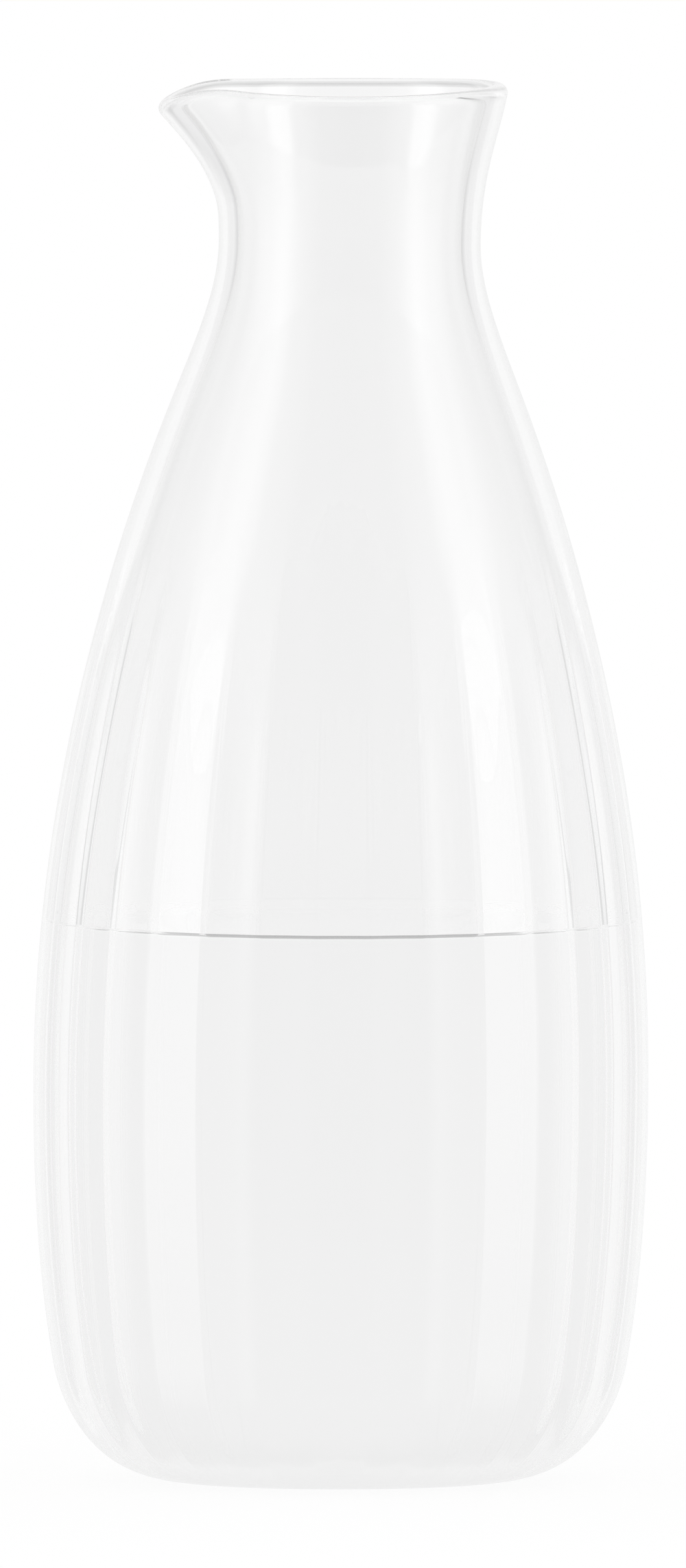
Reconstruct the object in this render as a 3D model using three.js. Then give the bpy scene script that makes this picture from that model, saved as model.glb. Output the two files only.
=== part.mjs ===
// Sake carafe: a mould-blown bottle of clear glass with a pulled pouring lip, half filled.
// Millimetres, +Z up. The origin is the middle of the standing face, and the lip points along -X.
import * as THREE from 'three';

// Outside of the glass, as radius and height above the standing face
const HEIGHT = 180; // standing face to the top of the rim
const BASE_RADIUS = 20.5; // flat standing face
const BASE_REACH = 12; // how far the round under edge keeps level past the standing face
const HEEL_RADIUS = 37.1; // where the round under edge turns into the flank
const HEEL_HEIGHT = 15;
const HEEL_SLOPE = 0.18; // radius gained per height there
const HEEL_PULL_DOWN = 4; // length of the curve handles at the heel
const HEEL_PULL_UP = 8;
const BELLY_RADIUS = 39.85; // widest place, over the crests of the flutes
const BELLY_HEIGHT = 51.5;
const BELLY_PULL_DOWN = 17;
const BELLY_PULL_UP = 31.5;
const SHOULDER_RADIUS = 24.1; // steepest place, between the round shoulder and the hollow under the neck
const SHOULDER_BELOW_RIM = 44;
const SHOULDER_SLOPE = 0.368; // radius lost per height there
const SHOULDER_PULL_DOWN = 25;
const SHOULDER_PULL_UP = 10;
const NECK_RADIUS = 16.9; // narrowest place
const NECK_BELOW_RIM = 20;
const NECK_PULL_DOWN = 7;
const NECK_PULL_UP = 9;
const MOUTH_RADIUS = 20.05; // just under the rim
const MOUTH_SLOPE = 0.19; // radius gained per height at the mouth
const MOUTH_PULL = 5;

// Wall thickness
const WALL = 2; // flank and shoulder
const NECK_WALL = 2.5; // neck and rim
const BASE_WALL = 4; // over the standing face
const BASE_WALL_RISE = 24; // height at which the base has thinned to the flank's wall

// Vertical flutes blown into the wall, which bends in at each of them
const FLUTE_COUNT = 32;
const FLUTE_DEPTH = 0.24; // at the middle of a flute, below the crests
const FLUTE_FULL_HEIGHT = 88; // full depth from the heel up to here
const FLUTE_FADE = 38; // height over which the flutes then die out
const FLUTE_BASE_FADE = 5; // and over which they die out under the heel
const INSIDE_FLUTE = 0.95; // depth on the inside of the wall, as a share of the outside's

// Lean of the blown neck, away from the lip
const LEAN = 1.6;

// Pouring lip
const LIP_LENGTH = 16; // down from the rim
const LIP_REACH = 5.3; // past the round mouth
const LIP_DROP = 3.1; // tip below the rim
const RIM_SADDLE = 0.68; // how much higher the rim is over the lip's line than at its sides
const LIP_HALF_ANGLE = THREE.MathUtils.degToRad(45);
const LIP_CURL = 1.5; // how late the lip turns out, as a power of its height
const LIP_DIRECTION = Math.PI;

// Sake inside
const FILL_LEVEL = 72.2;
const FILL_CLEARANCE = 0.3;

// Facets
const STEPS_PER_FLUTE = 2;
const SIDES = FLUTE_COUNT * STEPS_PER_FLUTE;
const CORNER_STEPS = 5;
const FLANK_STEPS = 4;
const SHOULDER_STEPS = 8;
const NAPE_STEPS = 5;
const FLARE_STEPS = 5;
const RIM_STEPS = 6;
const SURFACE_ROW = 2; // least height of the row of facets under the sake's surface

const point = (radius, height) => new THREE.Vector2(radius, height);

// Outline of the outside, from the standing face up to the rim
function outsideCurves() {
  const shoulderHeight = HEIGHT - SHOULDER_BELOW_RIM;
  const neckHeight = HEIGHT - NECK_BELOW_RIM;
  const slant = Math.hypot(1, MOUTH_SLOPE);
  const mouthHeight = HEIGHT - (NECK_WALL / 2) * (1 + MOUTH_SLOPE / slant);
  const corner = new THREE.CubicBezierCurve(
    point(BASE_RADIUS, 0),
    point(BASE_RADIUS + BASE_REACH, 0),
    point(HEEL_RADIUS - HEEL_SLOPE * HEEL_PULL_DOWN, HEEL_HEIGHT - HEEL_PULL_DOWN),
    point(HEEL_RADIUS, HEEL_HEIGHT),
  );
  const flank = new THREE.CubicBezierCurve(
    point(HEEL_RADIUS, HEEL_HEIGHT),
    point(HEEL_RADIUS + HEEL_SLOPE * HEEL_PULL_UP, HEEL_HEIGHT + HEEL_PULL_UP),
    point(BELLY_RADIUS, BELLY_HEIGHT - BELLY_PULL_DOWN),
    point(BELLY_RADIUS, BELLY_HEIGHT),
  );
  const shoulder = new THREE.CubicBezierCurve(
    point(BELLY_RADIUS, BELLY_HEIGHT),
    point(BELLY_RADIUS, BELLY_HEIGHT + BELLY_PULL_UP),
    point(SHOULDER_RADIUS + SHOULDER_SLOPE * SHOULDER_PULL_DOWN, shoulderHeight - SHOULDER_PULL_DOWN),
    point(SHOULDER_RADIUS, shoulderHeight),
  );
  const nape = new THREE.CubicBezierCurve(
    point(SHOULDER_RADIUS, shoulderHeight),
    point(SHOULDER_RADIUS - SHOULDER_SLOPE * SHOULDER_PULL_UP, shoulderHeight + SHOULDER_PULL_UP),
    point(NECK_RADIUS, neckHeight - NECK_PULL_DOWN),
    point(NECK_RADIUS, neckHeight),
  );
  const flare = new THREE.CubicBezierCurve(
    point(NECK_RADIUS, neckHeight),
    point(NECK_RADIUS, neckHeight + NECK_PULL_UP),
    point(MOUTH_RADIUS - MOUTH_SLOPE * MOUTH_PULL, mouthHeight - MOUTH_PULL),
    point(MOUTH_RADIUS, mouthHeight),
  );
  return [
    [corner, CORNER_STEPS],
    [flank, FLANK_STEPS],
    [shoulder, SHOULDER_STEPS],
    [nape, NAPE_STEPS],
    [flare, FLARE_STEPS],
  ];
}

// Thickness of the glass at a height
function wallAt(height) {
  const thickBase = 1 - THREE.MathUtils.smoothstep(height, 0, BASE_WALL_RISE);
  const thickNeck = THREE.MathUtils.smoothstep(height, BELLY_HEIGHT, HEIGHT - NECK_BELOW_RIM);
  return WALL + (BASE_WALL - WALL) * thickBase + (NECK_WALL - WALL) * thickNeck;
}

// Stations along the outline, each with the direction up along it
function outsideStations() {
  const stations = [];
  for (const [curve, steps] of outsideCurves()) {
    const first = stations.length ? 1 : 0;
    for (let i = first; i <= steps; i += 1) {
      stations.push({ at: curve.getPoint(i / steps), along: curve.getTangent(i / steps) });
    }
  }
  return stations;
}

const stations = outsideStations();

// Share of the lip in a direction, from 1 at its tip to 0 at its sides
function lipSpread(angle) {
  const turn = Math.abs(Math.atan2(Math.sin(angle - LIP_DIRECTION), Math.cos(angle - LIP_DIRECTION)));
  return turn < LIP_HALF_ANGLE ? Math.cos((Math.PI / 2) * (turn / LIP_HALF_ANGLE)) ** 2 : 0;
}

// A station with the lip pulled out, and the directions there up along the glass and into it
function pulled({ at, along }, angle) {
  const spread = lipSpread(angle);
  const rise = THREE.MathUtils.clamp((at.y - HEIGHT + LIP_LENGTH) / LIP_LENGTH, 0, 1);
  const sink = LIP_DROP * spread ** 2 - RIM_SADDLE * Math.cos(angle) ** 2;
  const outSlope = (LIP_REACH * spread * LIP_CURL * rise ** (LIP_CURL - 1)) / LIP_LENGTH;
  const upSlope = 1 - (2 * sink * rise) / LIP_LENGTH;
  const upward = point(along.x + outSlope * along.y, upSlope * along.y).normalize();
  return {
    at: point(at.x + LIP_REACH * spread * rise ** LIP_CURL, at.y - sink * rise ** 2),
    upward,
    inward: point(-upward.y, upward.x),
  };
}

// Share of the full flute depth at a height
function fluteShare(height) {
  const { smoothstep } = THREE.MathUtils;
  const fromBase = smoothstep(height, 0, FLUTE_BASE_FADE);
  const toShoulder = 1 - smoothstep(height, FLUTE_FULL_HEIGHT, FLUTE_FULL_HEIGHT + FLUTE_FADE);
  return fromBase * toShoulder;
}

// A point of the bottle: the flute and the lean put onto a plain round section
function place(at, angle, flute) {
  const radius = at.x - flute * FLUTE_DEPTH * fluteShare(at.y) * Math.abs(Math.cos((FLUTE_COUNT * angle) / 2));
  const middle = LEAN * (at.y / HEIGHT) ** 2;
  return [middle + radius * Math.cos(angle), radius * Math.sin(angle), at.y];
}

// One closed skin from a foot point, rings of points and a top point
function skin(foot, rings, top) {
  const positions = [...foot, ...rings.flat(2), ...top];
  const last = rings.length * SIDES + 1;
  const index = [];
  for (let side = 0; side < SIDES; side += 1) {
    const next = (side + 1) % SIDES;
    index.push(0, 1 + next, 1 + side);
    for (let row = 0; row + 1 < rings.length; row += 1) {
      const low = 1 + row * SIDES;
      const high = low + SIDES;
      index.push(low + side, low + next, high + next, low + side, high + next, high + side);
    }
    const rim = last - SIDES;
    index.push(last, rim + side, rim + next);
  }
  const geometry = new THREE.BufferGeometry();
  geometry.setAttribute('position', new THREE.Float32BufferAttribute(positions, 3));
  geometry.setIndex(index);
  geometry.computeVertexNormals();
  return geometry;
}

// Directions of the facet edges, the first of them on the crest between two flutes
const angles = Array.from({ length: SIDES }, (_, side) => Math.PI / FLUTE_COUNT + (2 * Math.PI * side) / SIDES);

// Ring of points at a station: on the outside, so deep in the glass, or round the rim
function outsideRing(station) {
  return angles.map((angle) => place(pulled(station, angle).at, angle, 1));
}

function insideRing(station, depth) {
  return angles.map((angle) => {
    const { at, inward } = pulled(station, angle);
    return place(at.addScaledVector(inward, depth), angle, INSIDE_FLUTE);
  });
}

function rimRing(station, turn) {
  const radius = wallAt(station.at.y) / 2;
  return angles.map((angle) => {
    const { at, upward, inward } = pulled(station, angle);
    at.addScaledVector(inward, radius * (1 - Math.cos(turn)));
    return place(at.addScaledVector(upward, radius * Math.sin(turn)), angle, 0);
  });
}

// Glass: up the outside, over the half-round rim and down the inside
function glassBody() {
  const rings = stations.map(outsideRing);
  for (let i = 1; i < RIM_STEPS; i += 1) {
    rings.push(rimRing(stations.at(-1), (Math.PI * i) / RIM_STEPS));
  }
  for (const station of stations.toReversed()) {
    rings.push(insideRing(station, wallAt(station.at.y)));
  }
  const glass = new THREE.MeshStandardMaterial({
    color: 0xf4f7f6,
    roughness: 0.03,
    metalness: 0,
    transparent: true,
    opacity: 0.3,
  });
  const mesh = new THREE.Mesh(skin([0, 0, 0], rings, place(point(0, BASE_WALL), 0, 0)), glass);
  mesh.name = 'glass_body';
  return mesh;
}

// Ring between two rings, at a height that lies between theirs
function ringBetween(low, high, height) {
  return low.map((from, side) => {
    const share = THREE.MathUtils.inverseLerp(from[2], high[side][2], height);
    return from.map((value, axis) => THREE.MathUtils.lerp(value, high[side][axis], share));
  });
}

// Sake: follows the inside of the glass up to its level
function sakeFill() {
  const walls = stations.map((station) => insideRing(station, wallAt(station.at.y) + FILL_CLEARANCE));
  const above = walls.findIndex(([first]) => first[2] > FILL_LEVEL);
  const rings = walls.filter(([first]) => first[2] < FILL_LEVEL - SURFACE_ROW);
  rings.push(ringBetween(walls[above - 1], walls[above], FILL_LEVEL));
  const foot = place(point(0, BASE_WALL + FILL_CLEARANCE), 0, 0);
  const top = place(point(0, FILL_LEVEL), 0, 0);
  const sake = new THREE.MeshStandardMaterial({
    color: 0xeef3f2,
    roughness: 0.02,
    metalness: 0,
    transparent: true,
    opacity: 0.25,
  });
  const mesh = new THREE.Mesh(skin(foot, rings, top), sake);
  mesh.name = 'sake_fill';
  return mesh;
}

const carafe = new THREE.Group();
carafe.add(glassBody(), sakeFill());

export default carafe;
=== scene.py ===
import math

import bpy
import numpy as np
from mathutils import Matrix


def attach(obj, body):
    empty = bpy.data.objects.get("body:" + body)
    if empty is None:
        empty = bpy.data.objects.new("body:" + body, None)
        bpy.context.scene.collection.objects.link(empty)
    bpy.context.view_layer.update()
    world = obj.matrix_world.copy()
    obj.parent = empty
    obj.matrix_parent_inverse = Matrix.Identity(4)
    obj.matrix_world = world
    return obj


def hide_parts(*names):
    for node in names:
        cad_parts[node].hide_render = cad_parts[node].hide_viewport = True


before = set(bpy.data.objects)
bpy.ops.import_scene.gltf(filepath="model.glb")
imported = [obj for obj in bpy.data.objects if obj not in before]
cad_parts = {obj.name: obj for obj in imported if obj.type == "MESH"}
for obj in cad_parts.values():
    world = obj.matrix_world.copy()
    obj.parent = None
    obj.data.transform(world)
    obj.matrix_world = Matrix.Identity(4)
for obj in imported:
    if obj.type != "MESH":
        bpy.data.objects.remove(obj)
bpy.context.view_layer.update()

# Sake carafe of clear fluted glass with a pulled pouring lip, part filled with sake.
# Sizes are millimetres in the frame of the CAD part, and meshes are made in metres.
MM = 0.001

# Outside of the glass, as radius and height above the standing face
HEIGHT = 180
BASE_RADIUS = 20.5
BASE_REACH = 12
HEEL_RADIUS = 37.1
HEEL_HEIGHT = 15
HEEL_SLOPE = 0.18
HEEL_PULL_DOWN = 4
HEEL_PULL_UP = 8
BELLY_RADIUS = 39.85
BELLY_HEIGHT = 51.5
BELLY_PULL_DOWN = 17
BELLY_PULL_UP = 31.5
SHOULDER_RADIUS = 24.1
SHOULDER_BELOW_RIM = 44
SHOULDER_SLOPE = 0.368
SHOULDER_PULL_DOWN = 25
SHOULDER_PULL_UP = 10
NECK_RADIUS = 16.9
NECK_BELOW_RIM = 20
NECK_PULL_DOWN = 7
NECK_PULL_UP = 9
MOUTH_RADIUS = 20.05
MOUTH_SLOPE = 0.19
MOUTH_PULL = 5

# Wall thickness
WALL = 2
NECK_WALL = 2.5
BASE_WALL = 4
BASE_WALL_RISE = 24

# Vertical flutes in the wall
FLUTE_COUNT = 32
FLUTE_DEPTH = 0.34
FLUTE_SOFTNESS = 0.1  # rounding of the crests between flutes, as a share of the flute's cosine
FLUTE_FULL_HEIGHT = 88
FLUTE_FADE = 38
FLUTE_BASE_FADE = 5
INSIDE_FLUTE = 0.95  # depth on the inside of the wall, as a share of the outside's

# Lean of the blown neck, away from the lip
LEAN = 1.6

# Pouring lip
LIP_LENGTH = 16
LIP_REACH = 5.3
RIM_SADDLE = 0.68  # how much higher the rim is over the lip's line than in front and behind
LIP_DROP = 3.1
LIP_HALF_ANGLE = math.radians(45)
LIP_CURL = 1.5
LIP_DIRECTION = math.pi

# Sake inside
FILL_LEVEL = 72.6  # edge of the sake on the glass
FILM = 0.04  # between the sake and the glass that it wets
MENISCUS_RISE = 0.8  # how far the sake climbs the glass
MENISCUS_WIDTH = 1.2  # over which the climb dies out

# Optics of the glass and the sake
GLASS_IOR = 1.5
SAKE_IOR = 1.345
WETTING_IOR = 1.0  # of the sake where it wets the glass, whose own surface there bends the light
# Grey tints by height. The glass is darker towards the bottom, partly for its thick base and partly as
# painted shade that stands in for the shaded floor seen through the base. The sake is darker where it is
# deep.
GLASS_TINTS_AND_BASE_SHADE = ((0, 0.8), (3, 0.86), (9, 0.9), (16, 0.92), (HEIGHT, 0.92))
SAKE_TINTS = ((0, 0.996), (FILL_LEVEL, 1.0))
GLASS_WAVES = 0.012  # height of the soft waves in the blown surface
SAKE_WAVES = 0.003
WAVE_SCALE = 45  # waves to the metre
WAVE_DETAIL = 1
LIGHT_BOUNCES = 240  # enough for light that runs along inside the wall

# Mesh density
FLUTE_STEPS = 12
SIDES = FLUTE_COUNT * FLUTE_STEPS
CURVE_STEPS = (20, 22, 56, 24, 20)  # corner, flank, shoulder, nape, flare
RIM_STEPS = 14
SURFACE_RINGS = 28
EDGE_CLEARANCE = 0.6  # least height between the ring at the sake's edge and its neighbours
OUTSIDE_SLOT, DRY_INSIDE_SLOT, WET_INSIDE_SLOT = range(3)  # materials of the glass
SURFACE_SLOT, WETTING_SLOT = range(2)  # materials of the sake

# Studio as the glass mirrors it: levels by degrees of azimuth from straight behind, the same to both sides
MIRRORED_STUDIO = (
    (0, 0.9), (18, 0.85), (27, 0.9), (34, 1.05), (41, 1.1), (46, 0.65), (52, 0.42), (60, 0.6), (66, 0.6),
    (74, 0.5), (84, 0.5), (90, 0.8), (96, 1.25), (103, 1.55), (118, 1.55), (124, 1.1), (131, 0.55),
    (142, 0.42), (152, 0.22), (180, 0.1),
)
MIRRORED_GROUND = ((0, 0.9), (30, 1.0), (45, 0.7), (70, 0.5), (95, 0.5), (130, 0.6), (180, 0.6))
# Shares by degrees of elevation: of the studio over the ground, and of the lamp overhead over both
PANEL_SHARE = ((-90, 0.0), (-45, 0.0), (-30, 0.4), (-16, 0.6), (-9, 0.8), (-4, 0.95), (3, 1.0), (90, 1.0))
LAMP_SHARE = ((-90, 0.0), (48, 0.0), (66, 1.0), (90, 1.0))
LAMP_LIGHT = 1.5
BRIGHTEST = 2.0  # ramps hold levels as shares of this

# Studio as the glass lets it through, by azimuth: after a reflection, straight through, and through sake.
# The last two are the same in front as behind.
CLEAR_STUDIO = (
    (0, 1.0), (40, 1.0), (47, 0.8), (56, 0.8), (63, 1.0), (85, 1.0), (96, 1.1), (106, 1.6), (120, 1.6),
    (130, 1.12), (142, 0.92), (152, 0.76), (180, 0.75),
)
STRAIGHT_STUDIO = ((0, 1.0), (46, 1.0), (50, 0.74), (54, 0.74), (59, 1.0), (90, 1.0))
WET_STUDIO = ((0, 0.95), (36, 0.95), (60, 1.0), (90, 0.98))
# Darker ground as seen through one wall only: levels by elevation, and the share of them by azimuth
GROUND_BEHIND = ((-90, 1.0), (-45, 1.0), (-32, 0.86), (-22, 0.74), (-14, 0.86), (-8, 1.0), (90, 1.0))
BEHIND_REACH = ((0, 1.0), (14, 1.0), (26, 0.35), (40, 0.35), (46, 0.0), (90, 0.0))
GROUND_ASIDE = ((-90, 0.42), (-40, 0.42), (-24, 0.6), (-14, 0.85), (-8, 1.0), (90, 1.0))
ASIDE_REACH = ((0, 0.0), (46, 0.0), (50, 1.0), (55, 1.0), (59.5, 0.0), (90, 0.0))
ONE_WALL_CROSSINGS = 2  # surfaces that light crosses on its way through one wall
WET_CROSSINGS = 6  # and on its way through glass, sake and glass
COUNT_TOLERANCE = 0.5
LONG_WAY = (6.5, 8.5)  # crossings and turns after which light is taken to come from all over the studio
LONG_WAY_LIGHT = 1.05

# Floor
FLOOR_RADIUS = 200
FLOOR_SIDES = 128
FLOOR_DROP = 0.2  # clear of the standing face
FLOOR_COLOUR = 0.95
FLOOR_ROUGHNESS = 0.9
FLOOR_SHADE = 0.045  # share of the floor's light that the carafe can shade, close to it
SHADE_FROM = 60  # radius to which the shade is full
SHADE_TO = 194  # and where it has died out
# Shaded floor near the carafe, as the edge of the sake shows it: levels by distance behind the axis
SHADED_FLOOR = ((-200, 1.0), (-50, 1.0), (-30, 0.58), (75, 0.58), (100, 1.0))

# Camera: a little above the carafe's middle, without perspective
CAMERA_DISTANCE = 2000
CAMERA_ELEVATION = math.radians(3.7)
CAMERA_AIM = (0.4, 0.0, 89.9)
PICTURE_HEIGHT = 202.4  # what the picture's height spans at the carafe


# Outline

def smoothstep(value, low, high):
    share = np.clip((np.asarray(value, float) - low) / (high - low), 0, 1)
    return share * share * (3 - 2 * share)


def bezier(p0, p1, p2, p3, steps):
    """Points along a cubic curve, and the directions that it takes there."""
    t = np.linspace(0, 1, steps + 1)[:, None]
    p0, p1, p2, p3 = (np.array(p, float) for p in (p0, p1, p2, p3))
    points = (1 - t) ** 3 * p0 + 3 * (1 - t) ** 2 * t * p1 + 3 * (1 - t) * t ** 2 * p2 + t ** 3 * p3
    along = (1 - t) ** 2 * (p1 - p0) + 2 * (1 - t) * t * (p2 - p1) + t ** 2 * (p3 - p2)
    return points, along / np.linalg.norm(along, axis=1)[:, None]


def outside_curves():
    """The five curves of the outside, from the standing face to the mouth, each as its ends and handles."""
    shoulder_height = HEIGHT - SHOULDER_BELOW_RIM
    neck_height = HEIGHT - NECK_BELOW_RIM
    slant = math.hypot(1, MOUTH_SLOPE)
    mouth_height = HEIGHT - NECK_WALL / 2 * (1 + MOUTH_SLOPE / slant)
    base = (BASE_RADIUS, 0)
    base_up = (BASE_RADIUS + BASE_REACH, 0)
    heel = (HEEL_RADIUS, HEEL_HEIGHT)
    heel_down = (HEEL_RADIUS - HEEL_SLOPE * HEEL_PULL_DOWN, HEEL_HEIGHT - HEEL_PULL_DOWN)
    heel_up = (HEEL_RADIUS + HEEL_SLOPE * HEEL_PULL_UP, HEEL_HEIGHT + HEEL_PULL_UP)
    belly = (BELLY_RADIUS, BELLY_HEIGHT)
    belly_down = (BELLY_RADIUS, BELLY_HEIGHT - BELLY_PULL_DOWN)
    belly_up = (BELLY_RADIUS, BELLY_HEIGHT + BELLY_PULL_UP)
    shoulder = (SHOULDER_RADIUS, shoulder_height)
    shoulder_down = (SHOULDER_RADIUS + SHOULDER_SLOPE * SHOULDER_PULL_DOWN,
                     shoulder_height - SHOULDER_PULL_DOWN)
    shoulder_up = (SHOULDER_RADIUS - SHOULDER_SLOPE * SHOULDER_PULL_UP,
                   shoulder_height + SHOULDER_PULL_UP)
    neck = (NECK_RADIUS, neck_height)
    neck_down = (NECK_RADIUS, neck_height - NECK_PULL_DOWN)
    neck_up = (NECK_RADIUS, neck_height + NECK_PULL_UP)
    mouth = (MOUTH_RADIUS, mouth_height)
    mouth_down = (MOUTH_RADIUS - MOUTH_SLOPE * MOUTH_PULL, mouth_height - MOUTH_PULL)
    return (
        (base, base_up, heel_down, heel),
        (heel, heel_up, belly_down, belly),
        (belly, belly_up, shoulder_down, shoulder),
        (shoulder, shoulder_up, neck_down, neck),
        (neck, neck_up, mouth_down, mouth),
    )


def outside_profile():
    """Outside of the glass from the standing face to the mouth: points, and the directions up along it."""
    points = []
    along = []
    for steps, curve in zip(CURVE_STEPS, outside_curves()):
        at, direction = bezier(*curve, steps)
        first = 1 if points else 0
        points.extend(at[first:])
        along.extend(direction[first:])
    return np.array(points), np.array(along)


def wall_at(height):
    thick_base = 1 - smoothstep(height, 0, BASE_WALL_RISE)
    thick_neck = smoothstep(height, BELLY_HEIGHT, HEIGHT - NECK_BELOW_RIM)
    return WALL + (BASE_WALL - WALL) * thick_base + (NECK_WALL - WALL) * thick_neck


def inside_profile():
    """Inside of the wall below the lip, as radius and height."""
    points, along = outside_profile()
    inward = np.column_stack([-along[:, 1], along[:, 0]])
    return points + inward * wall_at(points[:, 1])[:, None]


# Round sections

def ring_angles():
    """Angles of a ring's points, closest together at the crests of the flutes."""
    within = np.sin(np.linspace(-0.5, 0.5, FLUTE_STEPS, endpoint=False) * math.pi)
    pitch = 2 * math.pi / FLUTE_COUNT
    return np.concatenate([(flute + within / 2) * pitch for flute in range(FLUTE_COUNT)])


def lip_spread():
    """How much of the lip each angle has, from 1 at its tip to 0 at its sides."""
    turn = np.abs(np.arctan2(np.sin(ANGLES - LIP_DIRECTION), np.cos(ANGLES - LIP_DIRECTION)))
    return np.where(turn < LIP_HALF_ANGLE, np.cos(math.pi / 2 * turn / LIP_HALF_ANGLE) ** 2, 0)


def flute_shape():
    """Depth of the flutes round a ring, from 0 on the crests to 1 in the middle of each flute."""
    cosine = np.cos(FLUTE_COUNT * ANGLES / 2)
    softened = np.sqrt(cosine ** 2 + FLUTE_SOFTNESS ** 2) - FLUTE_SOFTNESS
    return softened / softened.max()


ANGLES = ring_angles()
SPREAD = lip_spread()
FLUTES = flute_shape()


def flute_share(height):
    from_base = smoothstep(height, 0, FLUTE_BASE_FADE)
    to_shoulder = 1 - smoothstep(height, FLUTE_FULL_HEIGHT, FLUTE_FULL_HEIGHT + FLUTE_FADE)
    return from_base * to_shoulder


def section(point, along):
    """A ring of the outside with the lip pulled out: its points, and the directions upward and inward."""
    radius, height = point
    rise = min(max((height - HEIGHT + LIP_LENGTH) / LIP_LENGTH, 0), 1)
    out = radius + LIP_REACH * SPREAD * rise ** LIP_CURL
    sink = LIP_DROP * SPREAD ** 2 - RIM_SADDLE * np.cos(ANGLES) ** 2
    up = height - sink * rise ** 2
    out_slope = LIP_REACH * SPREAD * LIP_CURL * rise ** (LIP_CURL - 1) / LIP_LENGTH
    up_slope = 1 - sink * 2 * rise / LIP_LENGTH
    upward = np.column_stack([along[0] + out_slope * along[1], up_slope * along[1]])
    upward /= np.linalg.norm(upward, axis=1)[:, None]
    inward = np.column_stack([-upward[:, 1], upward[:, 0]])
    return np.column_stack([out, up]), upward, inward


def place(ring, flute=1.0):
    """Puts a ring of radii and heights into space, with its flutes and the lean of the neck."""
    radius, up = ring[:, 0], ring[:, 1]
    radius = radius - flute * FLUTE_DEPTH * flute_share(up) * FLUTES
    middle = LEAN * (up / HEIGHT) ** 2
    return np.column_stack([middle + radius * np.cos(ANGLES), radius * np.sin(ANGLES), up])


def outside_rings():
    return [place(section(point, along)[0]) for point, along in zip(*outside_profile())]


def rim_rings():
    """Half circles over the mouth, from the outside to the inside, ends left out."""
    points, along = outside_profile()
    at, upward, inward = section(points[-1], along[-1])
    radius = wall_at(points[-1, 1]) / 2
    rings = []
    for turn in np.linspace(0, math.pi, RIM_STEPS + 1)[1:-1]:
        spoke = upward * math.sin(turn) - inward * math.cos(turn)
        rings.append(place(at + (inward + spoke) * radius))
    return rings


def level_ring(height):
    """A ring of the inside at a height below the lip."""
    inside = inside_profile()
    radius = np.interp(height, inside[:, 1], inside[:, 0])
    return place(np.tile((radius, height), (SIDES, 1)), INSIDE_FLUTE)


def inside_rings():
    """Rings of the inside from the base to the mouth, and the place of the one at the sake's edge."""
    rings = []
    heights = []
    for point, along in zip(*outside_profile()):
        at, _, inward = section(point, along)
        inner = at + inward * wall_at(point[1])
        height = inner[0, 1]
        if abs(height - FILL_LEVEL) < EDGE_CLEARANCE:
            continue
        rings.append(place(inner, INSIDE_FLUTE))
        heights.append(height)
    edge_row = int(np.searchsorted(heights, FILL_LEVEL))
    rings.insert(edge_row, level_ring(FILL_LEVEL))
    return rings, edge_row


# Meshes

def skin(name, rings, foot, top, materials, ring_slots):
    """A closed mesh over rings of points that run up the outside, with a fan at each end."""
    count = len(rings)
    points = np.vstack([np.vstack(rings), foot, top]) * MM
    faces = []
    slots = []
    for row in range(count - 1):
        low = row * SIDES
        high = low + SIDES
        for side in range(SIDES):
            following = (side + 1) % SIDES
            faces.append((low + side, low + following, high + following, high + side))
            slots.append(ring_slots[row])
    foot_at = count * SIDES
    top_at = foot_at + 1
    last = (count - 1) * SIDES
    for side in range(SIDES):
        following = (side + 1) % SIDES
        faces.append((following, side, foot_at))
        slots.append(ring_slots[0])
        faces.append((last + side, last + following, top_at))
        slots.append(ring_slots[-1])
    mesh = bpy.data.meshes.new(name)
    mesh.from_pydata(points.tolist(), [], faces)
    for material in materials:
        mesh.materials.append(material)
    mesh.polygons.foreach_set("material_index", slots)
    mesh.polygons.foreach_set("use_smooth", [True] * len(faces))
    mesh.update()
    piece = bpy.data.objects.new(name, mesh)
    bpy.context.collection.objects.link(piece)
    return piece


def make_glass(outside, dry_inside, wet_inside):
    """The glass as one skin: up the outside, over the rim and down the inside."""
    inner, edge_row = inside_rings()
    rings = outside_rings() + rim_rings()
    slots = [OUTSIDE_SLOT] * len(rings)
    slots += [DRY_INSIDE_SLOT] * (len(inner) - edge_row - 1)
    slots += [WET_INSIDE_SLOT] * edge_row
    rings += inner[::-1]
    foot = (0, 0, 0)
    top = (0, 0, BASE_WALL)
    return skin("carafe_glass", rings, foot, top, (outside, dry_inside, wet_inside), slots)


def make_sake(surface, wetting):
    """The sake as one skin: up along the inside of the glass, then in over its surface."""
    inner, edge_row = inside_rings()
    sides = []
    for ring in inner[:edge_row + 1]:
        toward = ring.mean(axis=0) - ring
        toward /= np.linalg.norm(toward, axis=1)[:, None]
        sides.append(ring + toward * FILM)
    edge = sides[-1]
    centre = edge.mean(axis=0) - (0, 0, MENISCUS_RISE)
    tops = []
    for share in 1 - np.linspace(0, 1, SURFACE_RINGS + 1)[1:-1] ** 2:
        ring = centre + (edge - centre) * share
        gap = (1 - share) * BELLY_RADIUS
        ring[:, 2] = centre[2] + MENISCUS_RISE * math.exp(-gap / MENISCUS_WIDTH)
        tops.append(ring)
    slots = [WETTING_SLOT] * (len(sides) - 1) + [SURFACE_SLOT] * len(tops)
    foot = (0, 0, BASE_WALL + FILM)
    return skin("sake", sides + tops, foot, tuple(centre), (surface, wetting), slots)


# Shader nodes

def math_node(tree, operation, *values):
    node = tree.nodes.new("ShaderNodeMath")
    node.operation = operation
    for socket, value in zip(node.inputs, values):
        if isinstance(value, (int, float)):
            socket.default_value = value
        else:
            tree.links.new(value, socket)
    return node.outputs[0]


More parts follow.
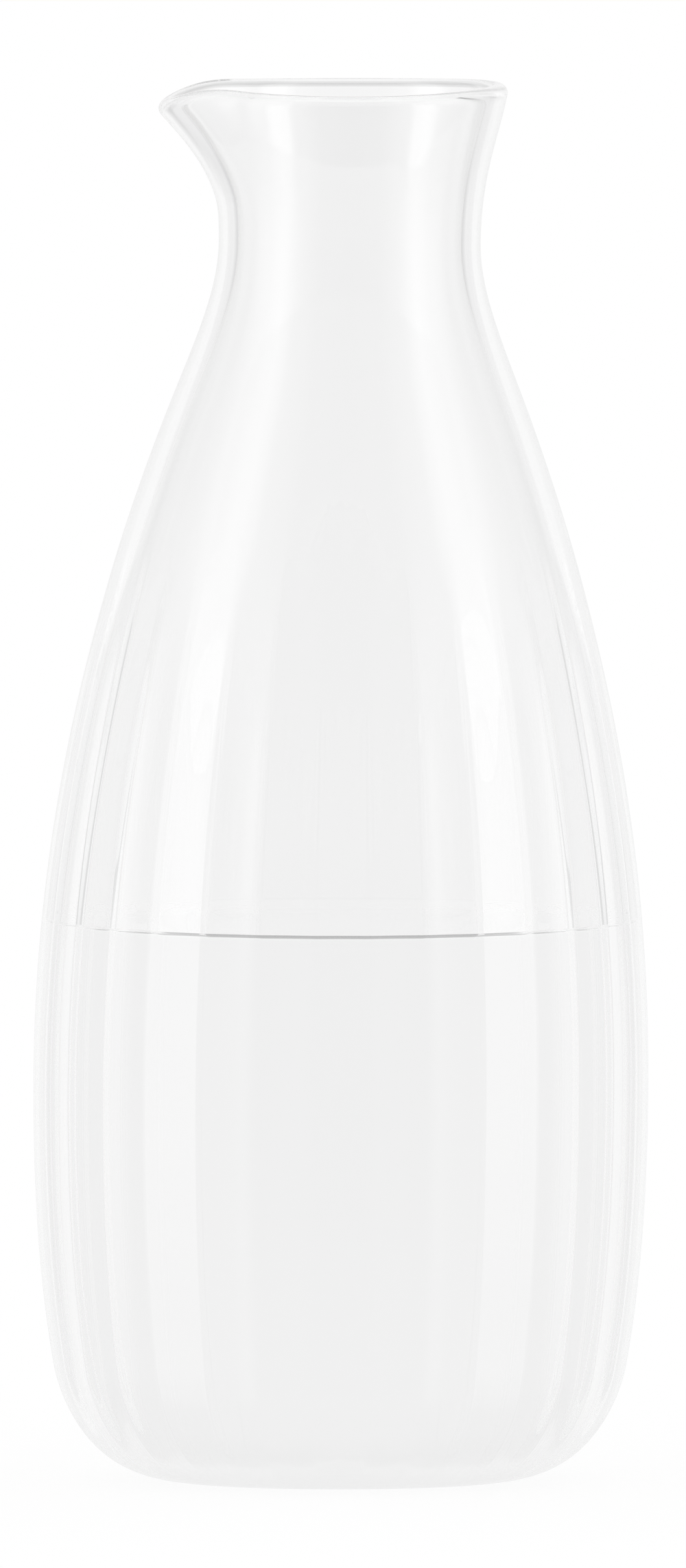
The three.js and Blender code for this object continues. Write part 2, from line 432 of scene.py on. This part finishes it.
def clamped(tree, value):
    """The value, kept from 0 to 1."""
    return math_node(tree, "MINIMUM", math_node(tree, "MAXIMUM", value, 0.0), 1.0)


def blend(tree, first, second, share):
    """A level between two others: the first where the share is 0, the second where it is 1."""
    return math_node(tree, "MULTIPLY_ADD", math_node(tree, "SUBTRACT", second, first), share, first)


def ramp(tree, value, stops):
    """A grey level that follows a value from 0 to 1 through the given stops."""
    node = tree.nodes.new("ShaderNodeValToRGB")
    node.color_ramp.interpolation = "EASE"
    elements = node.color_ramp.elements
    while len(elements) < len(stops):
        elements.new(0.5)
    for element, (position, level) in zip(elements, stops):
        element.position = position
        element.color = (level, level, level, 1)
    tree.links.new(value, node.inputs[0])
    return node.outputs["Color"]


def by_azimuth(stops, scale=1.0):
    return [(degrees / 180, level / scale) for degrees, level in stops]


def by_elevation(stops):
    return [((1 + math.sin(math.radians(degrees))) / 2, level) for degrees, level in stops]


def sake_crossed(tree, path):
    """1 for light that came through glass, sake and glass, otherwise 0."""
    return math_node(tree, "COMPARE", path.outputs["Transmission Depth"], WET_CROSSINGS, COUNT_TOLERANCE)


def reflected(tree, path):
    """1 for light that was reflected on its way, otherwise 0."""
    return math_node(tree, "MINIMUM", path.outputs["Glossy Depth"], 1.0)


# Clear materials

def tint_by_height(tree, place_in_object, tints):
    split = tree.nodes.new("ShaderNodeSeparateXYZ")
    tree.links.new(place_in_object, split.inputs[0])
    share = math_node(tree, "DIVIDE", split.outputs["Z"], HEIGHT * MM)
    return ramp(tree, share, [(height / HEIGHT, level) for height, level in tints])


def wavy_normal(tree, place_in_object, waviness):
    noise = tree.nodes.new("ShaderNodeTexNoise")
    noise.inputs["Scale"].default_value = WAVE_SCALE
    noise.inputs["Detail"].default_value = WAVE_DETAIL
    tree.links.new(place_in_object, noise.inputs["Vector"])
    bump = tree.nodes.new("ShaderNodeBump")
    bump.inputs["Distance"].default_value = waviness * MM
    tree.links.new(noise.outputs[0], bump.inputs["Height"])
    return bump.outputs[0]


def clear_material(name, ior, waviness=0.0, tints=()):
    """Clear glass or liquid: its surface may be a little wavy, and a grey tint may follow its height."""
    material = bpy.data.materials.new(name)
    material.use_nodes = True
    tree = material.node_tree
    shader = tree.nodes["Principled BSDF"]
    shader.inputs["Base Color"].default_value = (1, 1, 1, 1)
    shader.inputs["Roughness"].default_value = 0
    shader.inputs["IOR"].default_value = ior
    shader.inputs["Transmission Weight"].default_value = 1
    place_in_object = tree.nodes.new("ShaderNodeTexCoord").outputs["Object"]
    if tints:
        tree.links.new(tint_by_height(tree, place_in_object, tints), shader.inputs["Base Color"])
    if waviness:
        tree.links.new(wavy_normal(tree, place_in_object, waviness), shader.inputs["Normal"])
    return material


# Studio, floor and camera

def mirrored_level(tree, turn, height):
    """What the glass mirrors, by direction: the studio's panels, the ground and a lamp overhead."""
    panels = ramp(tree, turn, by_azimuth(MIRRORED_STUDIO, BRIGHTEST))
    ground = ramp(tree, turn, by_azimuth(MIRRORED_GROUND, BRIGHTEST))
    around = blend(tree, ground, panels, ramp(tree, height, by_elevation(PANEL_SHARE)))
    return blend(tree, around, LAMP_LIGHT / BRIGHTEST, ramp(tree, height, by_elevation(LAMP_SHARE)))


def clear_level(tree, turn, height, path):
    """What the glass lets through, by direction and by the way that the light took."""
    folded = math_node(tree, "MINIMUM", turn, math_node(tree, "SUBTRACT", 1.0, turn))
    straight = ramp(tree, folded, by_azimuth(STRAIGHT_STUDIO, BRIGHTEST))
    turned = ramp(tree, turn, by_azimuth(CLEAR_STUDIO, BRIGHTEST))
    level = blend(tree, straight, turned, reflected(tree, path))
    one_wall = math_node(tree, "SUBTRACT", ONE_WALL_CROSSINGS + 1, path.outputs["Transmission Depth"])
    one_wall = clamped(tree, one_wall)
    for ground, reach in ((GROUND_BEHIND, BEHIND_REACH), (GROUND_ASIDE, ASIDE_REACH)):
        dark = math_node(tree, "SUBTRACT", 1.0, ramp(tree, height, by_elevation(ground)))
        dark = math_node(tree, "MULTIPLY", dark, ramp(tree, folded, by_azimuth(reach)))
        dark = math_node(tree, "MULTIPLY", dark, one_wall)
        level = math_node(tree, "MULTIPLY", level, math_node(tree, "SUBTRACT", 1.0, dark))
    wet = ramp(tree, folded, by_azimuth(WET_STUDIO, BRIGHTEST))
    level = blend(tree, level, wet, sake_crossed(tree, path))
    shortest, longest = LONG_WAY
    long_way = math_node(tree, "SUBTRACT", path.outputs["Ray Depth"], shortest)
    long_way = clamped(tree, math_node(tree, "DIVIDE", long_way, longest - shortest))
    return blend(tree, level, LONG_WAY_LIGHT / BRIGHTEST, long_way)


def make_world():
    """White to the eye and to the floor, and a studio to what the glass mirrors and lets through."""
    world = bpy.data.worlds.new("studio")
    bpy.context.scene.world = world
    world.use_nodes = True
    tree = world.node_tree
    background = tree.nodes["Background"]
    background.inputs["Color"].default_value = (1, 1, 1, 1)
    split = tree.nodes.new("ShaderNodeSeparateXYZ")
    tree.links.new(tree.nodes.new("ShaderNodeTexCoord").outputs["Generated"], split.inputs[0])
    turn = math_node(tree, "ARCTAN2", split.outputs["X"], split.outputs["Y"])
    turn = math_node(tree, "DIVIDE", math_node(tree, "ABSOLUTE", turn), math.pi)
    height = math_node(tree, "MULTIPLY_ADD", split.outputs["Z"], 0.5, 0.5)
    path = tree.nodes.new("ShaderNodeLightPath")
    through = path.outputs["Is Transmission Ray"]
    bounced = math_node(tree, "SUBTRACT", path.outputs["Is Glossy Ray"], through)
    bounced = math_node(tree, "MAXIMUM", bounced, 0.0)
    seen = math_node(tree, "MULTIPLY", mirrored_level(tree, turn, height), bounced)
    seen = math_node(tree, "MULTIPLY_ADD", clear_level(tree, turn, height, path), through, seen)
    plain = math_node(tree, "ADD", path.outputs["Is Camera Ray"], path.outputs["Is Diffuse Ray"])
    strength = math_node(tree, "MULTIPLY_ADD", seen, BRIGHTEST, plain)
    tree.links.new(strength, background.inputs["Strength"])


def floor_shade(tree, place_on_floor):
    """Share of the floor's light that the carafe can shade, which dies out towards the floor's edge."""
    length = tree.nodes.new("ShaderNodeVectorMath")
    length.operation = "LENGTH"
    tree.links.new(place_on_floor, length.inputs[0])
    distance = math_node(tree, "DIVIDE", length.outputs["Value"], FLOOR_RADIUS * MM)
    stops = ((0, FLOOR_SHADE), (SHADE_FROM / FLOOR_RADIUS, FLOOR_SHADE), (SHADE_TO / FLOOR_RADIUS, 0.0))
    return ramp(tree, distance, stops)


def floor_through_glass(tree, place_on_floor, path):
    """Light of the floor as the glass shows it: white, but shaded where the sake's edge reflects it."""
    split = tree.nodes.new("ShaderNodeSeparateXYZ")
    tree.links.new(place_on_floor, split.inputs[0])
    behind = math_node(tree, "MULTIPLY_ADD", split.outputs["Y"], 0.5 / (FLOOR_RADIUS * MM), 0.5)
    under = ramp(tree, behind, [(0.5 + 0.5 * far / FLOOR_RADIUS, level) for far, level in SHADED_FLOOR])
    edge = math_node(tree, "MULTIPLY", sake_crossed(tree, path), reflected(tree, path))
    lost = math_node(tree, "MULTIPLY", edge, math_node(tree, "SUBTRACT", 1.0, under))
    return math_node(tree, "SUBTRACT", 1.0, lost)


def floor_material():
    """Pale and matt to the light, white to the eye apart from the carafe's soft shade."""
    material = bpy.data.materials.new("floor")
    material.use_nodes = True
    tree = material.node_tree
    shader = tree.nodes["Principled BSDF"]
    shader.inputs["Base Color"].default_value = (FLOOR_COLOUR, FLOOR_COLOUR, FLOOR_COLOUR, 1)
    shader.inputs["Roughness"].default_value = FLOOR_ROUGHNESS
    shader.inputs["Specular IOR Level"].default_value = 0
    place_on_floor = tree.nodes.new("ShaderNodeTexCoord").outputs["Object"]
    path = tree.nodes.new("ShaderNodeLightPath")
    white = tree.nodes.new("ShaderNodeEmission")
    tree.links.new(floor_through_glass(tree, place_on_floor, path), white.inputs["Strength"])
    unshaded = math_node(tree, "SUBTRACT", 1.0, floor_shade(tree, place_on_floor))
    lit = math_node(tree, "MULTIPLY", path.outputs["Is Camera Ray"], unshaded)
    mix = tree.nodes.new("ShaderNodeMixShader")
    tree.links.new(math_node(tree, "MAXIMUM", lit, path.outputs["Is Transmission Ray"]), mix.inputs[0])
    tree.links.new(shader.outputs[0], mix.inputs[1])
    tree.links.new(white.outputs[0], mix.inputs[2])
    tree.links.new(mix.outputs[0], tree.nodes["Material Output"].inputs["Surface"])
    return material


def make_floor():
    """A round white floor, small enough to end where the carafe's shade has died out."""
    bpy.ops.mesh.primitive_circle_add(
        vertices=FLOOR_SIDES, radius=FLOOR_RADIUS * MM, fill_type="NGON", location=(0, 0, -FLOOR_DROP * MM))
    floor = bpy.context.object
    floor.name = "floor"
    floor.data.materials.append(floor_material())
    floor.visible_glossy = False


def make_camera():
    data = bpy.data.cameras.new("camera")
    data.type = "ORTHO"
    data.sensor_fit = "VERTICAL"
    data.ortho_scale = PICTURE_HEIGHT * MM
    camera = bpy.data.objects.new("camera", data)
    bpy.context.collection.objects.link(camera)
    x, y, z = CAMERA_AIM
    back = CAMERA_DISTANCE * math.cos(CAMERA_ELEVATION)
    up = CAMERA_DISTANCE * math.sin(CAMERA_ELEVATION)
    camera.location = (x * MM, (y - back) * MM, (z + up) * MM)
    camera.rotation_euler = (math.pi / 2 - CAMERA_ELEVATION, 0, 0)
    bpy.context.scene.camera = camera


# Scene
scene = bpy.context.scene
scene.view_settings.view_transform = "Standard"
scene.cycles.max_bounces = LIGHT_BOUNCES
scene.cycles.glossy_bounces = LIGHT_BOUNCES
scene.cycles.transmission_bounces = LIGHT_BOUNCES
make_camera()
make_world()
make_floor()

# The outside's grey tint darkens towards the base, partly as painted shade.
glass_outside = clear_material("clear_glass", GLASS_IOR, GLASS_WAVES, GLASS_TINTS_AND_BASE_SHADE)
glass_inside = clear_material("clear_glass_inside", GLASS_IOR, GLASS_WAVES)
wet_glass = clear_material("clear_glass_wet", GLASS_IOR / SAKE_IOR, GLASS_WAVES)
glass = make_glass(glass_outside, glass_inside, wet_glass)
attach(glass, "root")
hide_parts("glass_body")

sake_surface = clear_material("clear_sake", SAKE_IOR, SAKE_WAVES)
sake_wetting = clear_material("clear_sake_wetting", WETTING_IOR, tints=SAKE_TINTS)
sake = make_sake(sake_surface, sake_wetting)
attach(sake, "root")
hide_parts("sake_fill")
